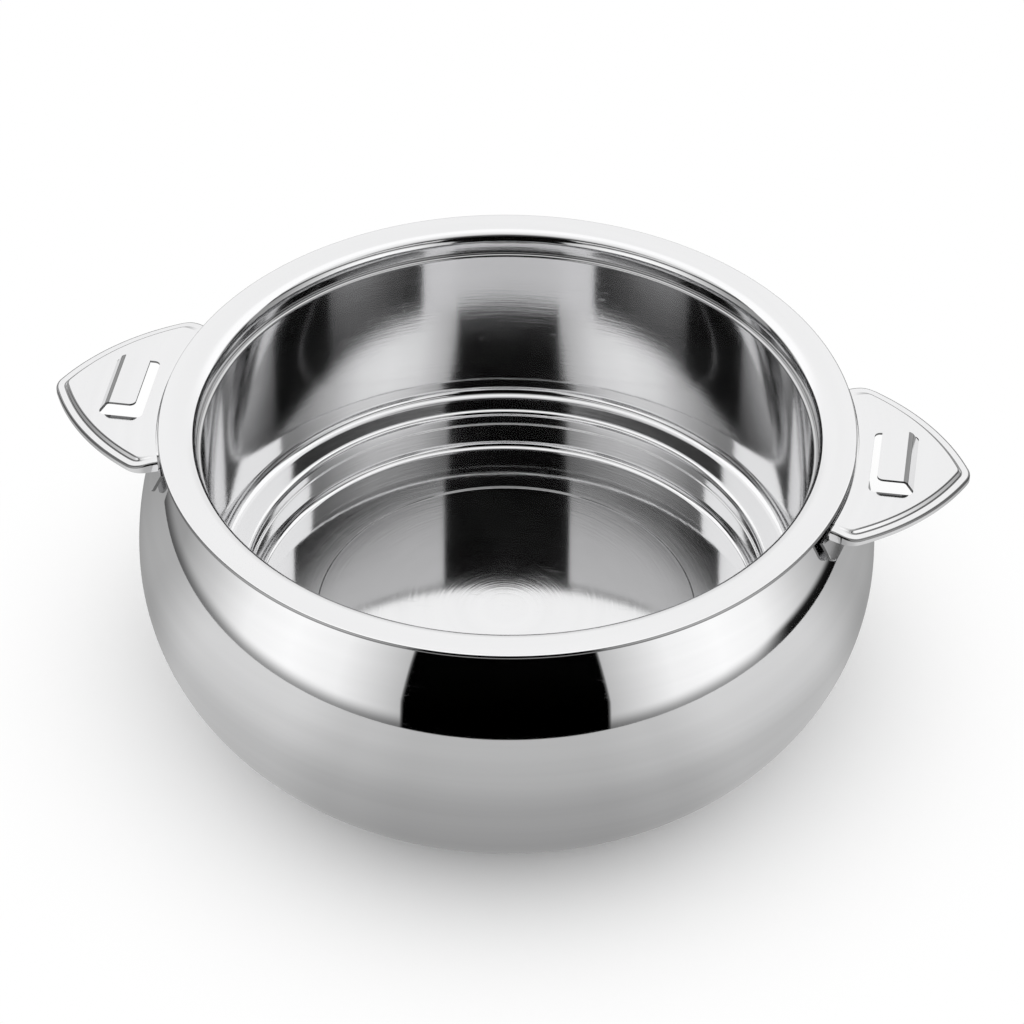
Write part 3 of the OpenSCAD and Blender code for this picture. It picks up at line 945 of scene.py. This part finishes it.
# %% Boards round the front
BOARD_R, BOARD_H, BOARD_STEPS = 325.0, 600.0, 96
bm = bmesh.new()
start = FRONT - math.radians(BOARD_SPAN)
lower = bm.verts.new((BOARD_R * math.cos(start), BOARD_R * math.sin(start), 0))
edge = bm.edges.new((lower, bm.verts.new((lower.co.x, lower.co.y, BOARD_H))))
bmesh.ops.spin(bm, geom=[*edge.verts, edge], cent=(0, 0, 0), axis=(0, 0, 1),
               angle=math.radians(2 * BOARD_SPAN), steps=BOARD_STEPS)
boards = finish_mesh("boards", bm)
boards.data.materials.append(board_mat)
for ray in ("camera", "diffuse", "shadow", "transmission"):
    setattr(boards, "visible_" + ray, False)
print("the boards stand", BOARD_R, "mm from the bowl's axis")

# %% [markdown]
# ## The table
#
# The bowl stands on a white table without an edge in sight. To the camera it is white
# with the bowl's soft shadow, which ends a hand's breadth away. In the photographed
# steel the table shows darker, perhaps because it is glossy itself. A glossy table would
# be hard to fit, so glossy rays see the table glow with painted light and shadow of its
# own, which depends on the reach from the axis and the turn from the camera: darker near
# the bowl, where its shadow falls, and towards the back.

# %% Table
TABLE_R, TABLE_STEPS, TABLE_WHITE = 2000.0, 96, (0.99, 0.99, 0.99, 1)
SHADOW_FROM, SHADOW_TO = 0.105, 0.205
OUTWARD = [(0.095, 0.54), (0.14, 0.68), (0.2, 0.88), (0.26, 0.95), (0.32, 0.96)]
SECTOR = [(0.10, 0.64), (0.18, 0.72), (0.28, 0.90), (0.42, 0.9), (0.55, 0.55), (0.75, 0.35)]

bm = bmesh.new()
bmesh.ops.create_circle(bm, cap_ends=True, segments=TABLE_STEPS, radius=TABLE_R)
table = finish_mesh("table", bm)
table_mat, tree, matt = new_material("table")
matt.inputs["Base Color"].default_value = TABLE_WHITE
matt.inputs["Roughness"].default_value = 1.0
matt.inputs["Specular IOR Level"].default_value = 0.0


def mix_shaders(tree, share, first, second):
    made = add(tree, "MixShader", Fac=share)
    feed(tree, made.inputs[1], first.outputs[0])
    feed(tree, made.inputs[2], second.outputs[0])
    return made


at = place(tree, place_tree, Spot=add(tree, "TexCoord").outputs["Object"])
sector = ramp(tree, calc(tree, "DIVIDE", at["Turn"], 180.0), SECTOR)
# Painted light and shadow: the glow that glossy rays see, darker near the bowl and behind it
shade = add(tree, "Emission", Strength=times(tree, ramp(tree, at["Reach"], OUTWARD), sector))
path = add(tree, "LightPath").outputs
beyond = times(tree, path["Is Camera Ray"], ease(tree, at["Reach"], SHADOW_FROM, SHADOW_TO))
open_table = mix_shaders(tree, beyond, matt, add(tree, "Emission"))
either = mix_shaders(tree, path["Is Glossy Ray"], open_table, shade)
feed(tree, tree.nodes["Material Output"].inputs["Surface"], either.outputs[0])
table.data.materials.append(table_mat)
print("the table's radius is", round(table.dimensions.x / 2, 2), "m")

# %% [markdown]
# ## The tent of light
#
# The world is an even white tent, which lights the table and the object plainly. Steel
# sees its shape: white behind and overhead, and dark in front under the tent's edge,
# which hangs high above the camera and comes down to the table on both sides. Steel also
# sees it brighter than it lights the table: the photographed rim asked for that, and no
# real tent does it. Lamps and cloth would be truer, but this world is simpler to fit.

# %% World
EDGE_TOP, EDGE_SAG, EDGE_AT = 66.0, 22, 83
SIDE_FROM, SIDE_FALL = 85.0, -0.6
EDGE_BELOW, EDGE_ABOVE, UNDER_EDGE = -9.0, 11.0, 0.04
GLOSSY_TENT, PLAIN_TENT, BACKGROUND = 1.35, 1.08, 1.0
CLOTH = [(0.0, 0.66), (0.05, 0.77), (0.16, 0.86), (0.33, 0.98), (0.53, 0.99), (0.70, 0.87),
         (0.87, 0.73)]

world = bpy.data.worlds.new("tent")
bpy.context.scene.world = world
world.use_nodes = True
tree = world.node_tree
sky = tree.nodes["Background"]
sky.inputs["Color"].default_value = (1, 1, 1, 1)
at = place(tree, place_tree, Spot=add(tree, "TexCoord").outputs["Generated"])
turn = at["Turn"]
climb = calc(tree, "DEGREES", calc(tree, "ARCSINE", at["Height"]))
hem = calc(tree, "MULTIPLY_ADD", times(tree, turn, turn), -EDGE_SAG / EDGE_AT ** 2, EDGE_TOP)
past = calc(tree, "MAXIMUM", calc(tree, "SUBTRACT", turn, SIDE_FROM), 0.0)
hem = calc(tree, "MULTIPLY_ADD", past, SIDE_FALL, hem)
inside = ease(tree, calc(tree, "SUBTRACT", climb, hem), EDGE_BELOW, EDGE_ABOVE,
              UNDER_EDGE, 1.0)
cloth = ramp(tree, calc(tree, "MULTIPLY_ADD", at["Towards"], 0.7, 0.7), CLOTH)
tent = times(tree, cloth, GLOSSY_TENT, inside)
path = add(tree, "LightPath").outputs
seen = calc(tree, "MAXIMUM", path["Is Camera Ray"], path["Is Transmission Ray"])
plain = add(tree, "Mix", Factor=seen, A=PLAIN_TENT, B=BACKGROUND).outputs["Result"]
strength = add(tree, "Mix", Factor=path["Is Glossy Ray"], A=plain, B=tent).outputs["Result"]
feed(tree, sky.inputs["Strength"], strength)
print("the world is", world.name)
